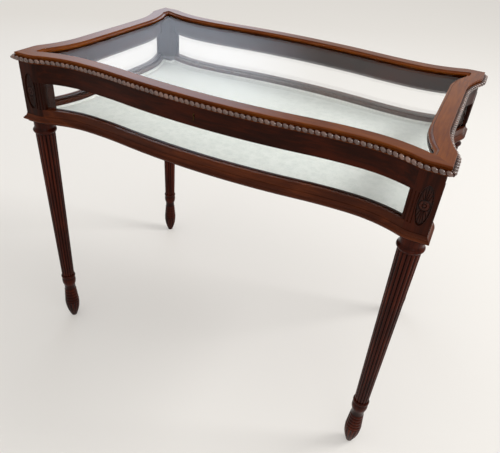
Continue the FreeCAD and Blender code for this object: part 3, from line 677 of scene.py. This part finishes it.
def oval_relief(u, turn):
    """Height of the carving over its sunk ground, from middle (u = 0) to rim (u = 1)."""
    x, z = HALF_WIDE * u * np.cos(turn), HALF_TALL * u * np.sin(turn)
    away, around = np.hypot(x, z), np.arctan2(z, x)
    leaf = abs(np.cos(LEAVES * turn)) ** 0.6 * np.clip((u - 0.12) / 0.2, 0, 1)
    leaf = leaf * np.clip((0.97 - u) / 0.3, 0, 1) ** 0.6 * np.where(away < LEAF_START, 0.0, 1.0)
    vein = 0.25 * np.exp(-(((turn * LEAVES / math.pi + 0.5) % 1 - 0.5) / 0.08) ** 2)
    petal = (0.55 + 0.45 * abs(np.cos(PETALS * around)) ** 0.7)
    petal = petal * np.clip((away - 3.2) / 1.5, 0, 1)
    petal = petal * np.clip((FLOWER_RADIUS - away) / 2.2, 0, 1) ** 0.5
    boss = np.sqrt(np.clip(1 - (away / BOSS_RADIUS) ** 2, 0, 1))
    return SPARE + np.maximum.reduce([
        LEAF_HEIGHT * (leaf - vein * leaf), PETAL_HEIGHT * petal, BOSS_HEIGHT * boss])


print("the boss rises", round(float(oval_relief(np.zeros(1), np.zeros(1))[0]), 2), "mm")

# %% Carve the paterae
def patera_object(name, spots, rings=30, spokes=168):
    """Carved ovals at several spots, each an (x, y, height, quarter turns) of a post's face."""
    vertices, faces, crests = [], [], []
    u = np.linspace(0, 1, rings)[:, None]
    turn = np.linspace(0, 2 * math.pi, spokes, endpoint=False)[None, :]
    relief = oval_relief(u, turn)
    carved = np.stack([(HALF_WIDE - SPARE) * u * np.cos(turn), SINK - relief + 0 * turn,
                       (HALF_TALL - SPARE) * u * np.sin(turn)], axis=-1)
    rim_steps = [(-0.1, SINK - SPARE), (-0.05, 0.0), (0.3, -0.7), (0.8, -1.0), (1.3, -0.7),
                 (RIM + 0.1, 0.1)]
    edge = [np.stack([(HALF_WIDE + grow) * np.cos(turn[0]), np.full(spokes, deep),
                      (HALF_TALL + grow) * np.sin(turn[0])], axis=-1) for grow, deep in rim_steps]
    oval = np.concatenate([carved, edge])
    # Higher carving gets wear and a painted highlight, the sunk ground painted shade, and the rim a
    # middle tone.
    crest = np.concatenate([np.clip(relief / 2.2, 0, 1).ravel(),
                            np.full(len(rim_steps) * spokes, 0.6)])
    for x, y, height, turns in spots:
        start = sum(len(v) for v in vertices)
        faces += [tuple(start + i for i in face) for face in grid_faces(len(oval), spokes)]
        points = oval.reshape(-1, 3)
        flat = turned(points[:, :2] + (x, y), turns)
        vertices.append(np.column_stack([flat, points[:, 2] + height]))
        crests.append(crest)
    return make_object(name, np.concatenate(vertices), faces, carved_upright, angle=60,
                       crest=np.concatenate(crests))


FACE_X, FACE_Y, FROM_CORNER, OVAL_HEIGHT = 442.5, 277.5, 20.0, 679.0
for corner, (way_x, way_y) in CORNERS.items():
    facing = 1 if way_y < 0 else -1
    wide_face = (way_x * (FACE_X - FROM_CORNER) * facing, -FACE_Y, OVAL_HEIGHT, 1 - facing)
    facing = 1 if way_x > 0 else -1
    end_face = (way_y * (FACE_Y - FROM_CORNER) * facing, -FACE_X, OVAL_HEIGHT, 2 - facing)
    ovals = patera_object("carved_ovals_" + corner, (wide_face, end_face))
    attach(ovals, "case")
    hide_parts("paterae_" + corner)
print("a pair of ovals has", len(ovals.data.polygons), "faces")

# %% [markdown]
# ## Lined floor
# The floor of the case is covered in a pale silver damask over a thin layer of wadding, and a roll
# of the same cloth hides its edge. To the eye the cloth is a fine grid of threads with a soft sheen
# and a figure that shifts from silver to white. The real threads, about 0.3 mm, would vanish, so
# they are drawn 0.9 mm apart.

# %% Cloth of the lining
THREAD_MM, MOTIF_MM = 0.9, 14.0
CLOUD_SCALE = 240.0                       # patches about 4 mm across
WAVES = 3.2                               # bands that a wave texture draws in one unit


def damask(name, tones):
    material, tree, shader = new_material(name, {
        "Roughness": 0.75, "Sheen Weight": 0.35, "Sheen Roughness": 0.4})
    place = add_node(tree, "ShaderNodeTexCoord").outputs["Object"]
    weave = []
    for turn in (0, QUARTER):
        across = add_node(tree, "ShaderNodeMapping", {"Vector": place, "Rotation": (0, 0, turn)})
        weave.append(add_node(tree, "ShaderNodeTexWave", {
            "Vector": across.outputs["Vector"], "Scale": 1 / (THREAD_MM * MM) / WAVES,
            "Distortion": 0.6}).outputs["Fac"])
    thread = add_node(tree, "ShaderNodeMath", {0: weave[0], 1: weave[1]}, operation="MULTIPLY")
    motif = add_node(tree, "ShaderNodeTexVoronoi", {
        "Vector": place, "Scale": 1 / (MOTIF_MM * MM)}, feature="SMOOTH_F1").outputs["Distance"]
    cloud = add_node(tree, "ShaderNodeTexNoise", {
        "Vector": place, "Scale": CLOUD_SCALE, "Detail": 4.0}).outputs["Fac"]
    figure = add_node(tree, "ShaderNodeMix", {0: 0.55, 2: motif, 3: cloud}).outputs[0]
    tone = add_node(tree, "ShaderNodeValToRGB", {"Fac": figure},
                    stops=list(zip((0.32, 0.55, 0.75), tones)))
    tree.links.new(tone.outputs["Color"], shader.inputs["Base Color"])
    bump = add_node(tree, "ShaderNodeBump", {
        "Strength": 0.35, "Distance": 0.25 * MM, "Height": thread.outputs[0]})
    tree.links.new(bump.outputs["Normal"], shader.inputs["Normal"])
    return material


lining_cloth = damask("silk and cotton damask, pale silver", ("#DAE0DA", "#E4E9E3", "#ECF0EB"))
# The roll is drawn lighter than the floor's cloth, as a painted highlight along its rounded top.
roll_cloth_painted_highlight = damask("silk and cotton piping, painted highlight", ("#EAEDE8", "#F3F5F1", "#F9FAF7"))
print("lining cloth ready, threads", THREAD_MM, "mm apart")

# %% The edge of the lining, round the posts
LINING_OUT, POST_EDGE_X, POST_EDGE_Y = -23.8, 398.5, 233.5
GAP = 0.3                                 # between the lining and the posts


def lining_outline(inset):
    """The lining's edge moved inwards, with a step round each post, as one closed line."""
    stop_x, stop_y = POST_EDGE_X - GAP - inset, POST_EDGE_Y - GAP - inset
    line = []
    for side in SIDES.values():
        stop, other = (stop_x, stop_y) if side["turns"] % 2 == 0 else (stop_y, stop_x)
        curve = moved_out(side, LINING_OUT - inset, clamp=False)
        curve = curve[abs(curve[:, 0]) < stop - 2]
        start, ends = [(-stop, curve[0][1] - 0.4)], [(stop, curve[-1][1] - 0.4), (stop, -other)]
        line += list(turned(np.concatenate([start, curve, ends]), side["turns"]))
    return np.array(line)


def softened(line, times=2):
    """A closed line with its corners cut back a little, as cloth turns them."""
    for _ in range(times):
        after = np.roll(line, -1, axis=0)
        near = np.minimum(0.25, 1.2 / np.maximum(np.hypot(*(after - line).T), 1e-6))[:, None]
        line = np.stack([line + near * (after - line), after - near * (after - line)], axis=1)
        line = line.reshape(-1, 2)
    return line


print("the lining's edge has", len(softened(lining_outline(0))), "points")

# %% The rolled edge
ROLL, ROLL_HEIGHT = 3.6, 623.9            # radius, and height of its middle
roll_line = softened(lining_outline(ROLL))
curve = bpy.data.curves.new("roll", "CURVE")
curve.dimensions = "3D"
curve.bevel_depth, curve.bevel_resolution = ROLL * MM, 4
spline = curve.splines.new("POLY")
spline.points.add(len(roll_line) - 1)
for point, (x, y) in zip(spline.points, roll_line):
    point.co = (x * MM, y * MM, ROLL_HEIGHT * MM, 1)
spline.use_cyclic_u = True
roll_path = placed("roll path", curve)
bpy.context.view_layer.update()
evaluated = roll_path.evaluated_get(bpy.context.evaluated_depsgraph_get())
roll_mesh = bpy.data.meshes.new_from_object(evaluated)
bpy.data.objects.remove(roll_path)
roll_mesh.materials.clear()
roll_mesh.materials.append(roll_cloth_painted_highlight)
roll_mesh.shade_smooth()
roll = placed("lining_rolled_edge", roll_mesh)
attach(roll, "case")
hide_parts("lining_roll")
print("rolled edge:", round(distances(np.concatenate([roll_line, roll_line[:1]]))[-1]), "mm round")

# %% [markdown]
# ## The padded floor
# The wadding makes the cloth swell a little between its fixed edges, which is what cloth simulation
# with a little pressure does. The cloth is cut to the lining's outline as a flat cushion, its edge
# is pinned, and what the simulation lifts is capped, because a lining is stretched nearly flat.
# Slow waves of slack and a crease along the roll are added as heights.

# %% Cut the cloth
PAD_LOW, PAD_TOP, PAD_STEP = 620.0, 625.0, 9.0
PINNED = 4                                # mm along the edge that can't rise
pad_line = softened(lining_outline(2 * ROLL - 0.8))


def floor_pad():
    """A flat cushion cut to the lining's outline: a fine grid on top, walls and a plain base."""
    pad = bmesh.new()
    ring = [pad.verts.new((x * MM, y * MM, PAD_TOP * MM)) for x, y in pad_line]
    pad.faces.new(ring)
    for normal, reach in ((Vector((1, 0, 0)), 420), (Vector((0, 1, 0)), 250)):
        for cut in np.arange(-reach, reach + 1, PAD_STEP):
            bmesh.ops.bisect_plane(
                pad, geom=pad.verts[:] + pad.edges[:] + pad.faces[:], dist=1e-7,
                plane_co=normal * float(cut) * MM, plane_no=normal)
    below = bmesh.ops.extrude_face_region(pad, geom=pad.faces[:])
    moved = [item for item in below["geom"] if isinstance(item, bmesh.types.BMVert)]
    bmesh.ops.translate(pad, verts=moved, vec=(0, 0, (PAD_LOW - PAD_TOP) * MM))
    bmesh.ops.recalc_face_normals(pad, faces=pad.faces)
    mesh = bpy.data.meshes.new("padded_floor_lining")
    pad.to_mesh(mesh)
    pad.free()
    mesh.materials.append(lining_cloth)
    return placed("padded_floor_lining", mesh)


pad = floor_pad()
rest = np.array([v.co for v in pad.data.vertices])
on_top = rest[:, 2] > (PAD_TOP - 0.1) * MM
from_edge = np.array([np.min(np.hypot(*(pad_line * MM - (x, y)).T)) for x, y, _ in rest])
loose = on_top & (from_edge > PINNED * MM)
pins = pad.vertex_groups.new(name="fixed")
pins.add([int(i) for i in np.flatnonzero(~loose)], 1.0, "REPLACE")
print("pad:", len(rest), "points,", int(loose.sum()), "free to swell")

# %% Let the wadding swell the cloth
SWELL, SWELL_FRAMES = 1.6, 16             # cap in mm, and steps of the simulation
cloth = pad.modifiers.new("wadding", "CLOTH")
cloth.settings.vertex_group_mass = "fixed"
cloth.settings.quality = 5
cloth.settings.mass = 0.3
cloth.settings.tension_stiffness = cloth.settings.compression_stiffness = 12.0
cloth.settings.bending_stiffness = 1.0
cloth.settings.use_pressure = True
cloth.settings.uniform_pressure_force = 3.0
cloth.settings.effector_weights.gravity = 0.0
cloth.collision_settings.use_collision = False
cloth.point_cache.frame_start, cloth.point_cache.frame_end = 1, SWELL_FRAMES
for number in range(1, SWELL_FRAMES + 1):
    scene.frame_set(number)
evaluated = pad.evaluated_get(bpy.context.evaluated_depsgraph_get())
swollen = np.array([v.co for v in evaluated.data.vertices])
pad.modifiers.remove(cloth)
scene.frame_set(1)
lift = np.clip(swollen[:, 2] - rest[:, 2], 0, None)
print("cloth rose by up to", round(float(lift.max()) / MM, 2), "mm before the cap")
lift = SWELL * MM * np.tanh(lift / (SWELL * MM))

# %% Slack and crease
SLACK, CREASE_DEEP, CREASE_WIDE = 0.25, 1.8, 2.5
x, y = rest[:, 0] / MM, rest[:, 1] / MM
slack = SLACK * np.sin(x / 17 + 1.3 * np.sin(y / 41)) * np.sin(y / 23 + 0.9 * np.sin(x / 53))
slack = slack * np.tanh(from_edge / (20 * MM))
crease = CREASE_DEEP * MM * np.exp(-from_edge / (CREASE_WIDE * MM)) * on_top
height = rest[:, 2] + np.where(loose, lift + slack * MM, 0) - crease
for vertex, level in zip(pad.data.vertices, height):
    vertex.co.z = level
pad.vertex_groups.clear()
pad.data.shade_smooth()
pad.data.set_sharp_from_angle(angle=math.radians(60))
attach(pad, "case")
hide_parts("lining_pad")
print("pad top at", round(float(height.max()) / MM, 2), "mm")

# %% [markdown]
# ## Finish for the solids that stay
# The rest of the joinery keeps its solid shape. What runs along the width takes the grain along X,
# what runs along the depth takes it along Y, and the posts stand upright. A cabinet maker chooses
# it the same way.

# %% Give each kept solid its finish
def finish_for(node):
    along_width = node.endswith(("front", "back"))
    if node.startswith("lid_frame"):
        return golden_width if along_width else golden_depth
    if node.startswith(("lid_glass_beads", "pane_beads")):
        return width_wood
    if node == "lid_glass":
        return lid_sheet
    if node.startswith("pane_"):
        return side_sheet
    if node.startswith("floor_board"):
        return bare_wood
    if node.startswith("apron"):
        return width_wood if along_width else depth_wood
    if node.startswith(("rail", "base_moulding")):
        return rail_width_wood if along_width else rail_depth_wood
    if node.startswith("post_"):
        return upright_wood
    if node.startswith("floor_screws"):
        return steel
    if node == "keyhole_escutcheon":
        return old_brass
    return brass


for name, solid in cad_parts.items():
    solid.data.materials.clear()
    solid.data.materials.append(finish_for(name))
print("finished", len(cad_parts), "solids")

# %% [markdown]
# ## The room
# A pale sweep of paper carries the table and its shadow, and the world behind it has the paper's
# tone. Light Path tells what is seen from what only gives light: to the camera, and in glass and
# polish, a quarter of the paper shows as a plain pale tone, so that its shadows stay light.
# The lamps are large and soft, as windows are. The main one stands behind on the right, and a low
# one behind on the left, dark at its rim, leaves a faint sheen on the lid's glass.

# %% Floor and backdrop
def seen_directly(tree):
    """1 for what the camera sees, also in gloss or through glass, and 0 for what lights."""
    path = add_node(tree, "ShaderNodeLightPath").outputs
    either = add_node(tree, "ShaderNodeMath", {
        0: path["Is Camera Ray"], 1: path["Is Glossy Ray"]}, operation="MAXIMUM")
    return add_node(tree, "ShaderNodeMath", {
        0: either.outputs[0], 1: path["Is Transmission Ray"]}, operation="MAXIMUM").outputs[0]


def pale_ground(name, colour, shown, share):
    """Paper that takes a shadow, mixed with its own plain colour where it is seen."""
    material, tree, shader = new_material(name, {
        "Base Color": linear(colour), "Roughness": 0.9, "Specular IOR Level": 0.0})
    glow = add_node(tree, "ShaderNodeEmission", {"Color": linear(shown), "Strength": 1.0})
    part = add_node(tree, "ShaderNodeMath", {0: seen_directly(tree), 1: share},
                    operation="MULTIPLY")
    mixed = add_node(tree, "ShaderNodeMixShader", {
        0: part.outputs[0], 1: shader.outputs[0], 2: glow.outputs[0]})
    tree.links.new(mixed.outputs[0], tree.nodes["Material Output"].inputs["Surface"])
    return material


REACH = 60                                # metres, so that no other view shows the paper's edge
floor_mesh = bpy.data.meshes.new("floor")
floor_mesh.from_pydata([(-REACH, -REACH, 0), (REACH, -REACH, 0), (REACH, REACH, 0),
                        (-REACH, REACH, 0)], [], [(0, 1, 2, 3)])
floor_mesh.materials.append(pale_ground("paper sweep", "#E4E1DC", "#FDFAF6", 0.25))
floor = placed("floor", floor_mesh)

world = bpy.data.worlds.new("studio")
scene.world = world
world.use_nodes = True
backdrop = world.node_tree.nodes["Background"]
backdrop.inputs["Color"].default_value = linear("#F3F1EE")
backdrop.inputs["Strength"].default_value = 0.84
print("floor", 2 * REACH, "m wide")

# %% Lamps
def lamp(name, place, aim, size, power, colour="#FFFFFF"):
    light = bpy.data.lights.new(name, "AREA")
    light.shape, light.size, light.size_y, light.energy = "RECTANGLE", size[0], size[1], power
    light.color = linear(colour)[:3]
    item = placed(name, light)
    item.location = place
    item.rotation_euler = (Vector(aim) - Vector(place)).to_track_quat("-Z", "Y").to_euler()
    return light


def fade_edges(light, peak, full=0.7):
    """Makes a lamp brightest in its middle and dark at its rim, as a diffuser does."""
    light.use_nodes = True
    tree = light.node_tree
    across = add_node(tree, "ShaderNodeNewGeometry").outputs["Parametric"]
    centred = add_node(tree, "ShaderNodeMapping", {
        "Vector": across, "Location": (-1, -1, 0), "Scale": (2, 2, 0)}).outputs["Vector"]
    dome = add_node(tree, "ShaderNodeTexGradient", {"Vector": centred},
                    gradient_type="SPHERICAL").outputs["Fac"]
    level = add_node(tree, "ShaderNodeMapRange", {0: dome, 2: full, 4: peak},
                     interpolation_type="SMOOTHSTEP")
    tree.links.new(level.outputs[0], tree.nodes["Emission"].inputs["Strength"])


lamp("large window", (2.9, 1.6, 3.5), (0, 0, 0.3), (1.4, 1.4), 88)
lamp("overhead", (0.3, -0.6, 3.2), (0, 0, 0.7), (2.4, 1.6), 8)
lamp("front fill", (1.8, -2.6, 1.6), (0, 0, 0.5), (1.4, 1.2), 8)
behind = lamp("low window behind", (-1.75, 2.35, 1.75), (-0.1, 0.0, 0.76), (2.6, 1.7), 15,
              "#DCEAFF")
fade_edges(behind, 2.2)
print("lamps:", len(bpy.data.lights))

# %% [markdown]
# ## The camera
# The camera looks down on the table from the front, a little to the right, and is held slightly
# askew. Its focal length is given in pixels of a frame 500 wide, and Blender wants it in
# millimetres on a sensor 36 mm wide. Three directions, right, up and ahead, make its matrix.

# %% Camera
FOCAL, FRAME_WIDTH, SENSOR = 514.66, 500, 36
AZIMUTH, ELEVATION, ROLL_ANGLE = 0.3960, 0.6048, 0.0953
STAND = Vector((444.18, -1055.86, 1108.22)) * MM
ahead = Vector((-math.sin(AZIMUTH) * math.cos(ELEVATION), math.cos(AZIMUTH) * math.cos(ELEVATION),
                -math.sin(ELEVATION)))
level = Vector((math.cos(AZIMUTH), math.sin(AZIMUTH), 0))
upward = level.cross(ahead)
right = math.cos(ROLL_ANGLE) * level + math.sin(ROLL_ANGLE) * upward
above = -math.sin(ROLL_ANGLE) * level + math.cos(ROLL_ANGLE) * upward
camera_data = bpy.data.cameras.new("camera")
camera_data.sensor_width = SENSOR
camera_data.lens = SENSOR * FOCAL / FRAME_WIDTH
camera_data.clip_start = 0.01
camera = placed("camera", camera_data)
facing = Matrix((right, above, -ahead)).transposed().to_4x4()
camera.matrix_world = Matrix.Translation(STAND) @ facing
scene.camera = camera
scene.view_settings.view_transform = "Standard"
print("camera lens", round(camera_data.lens, 2), "mm")
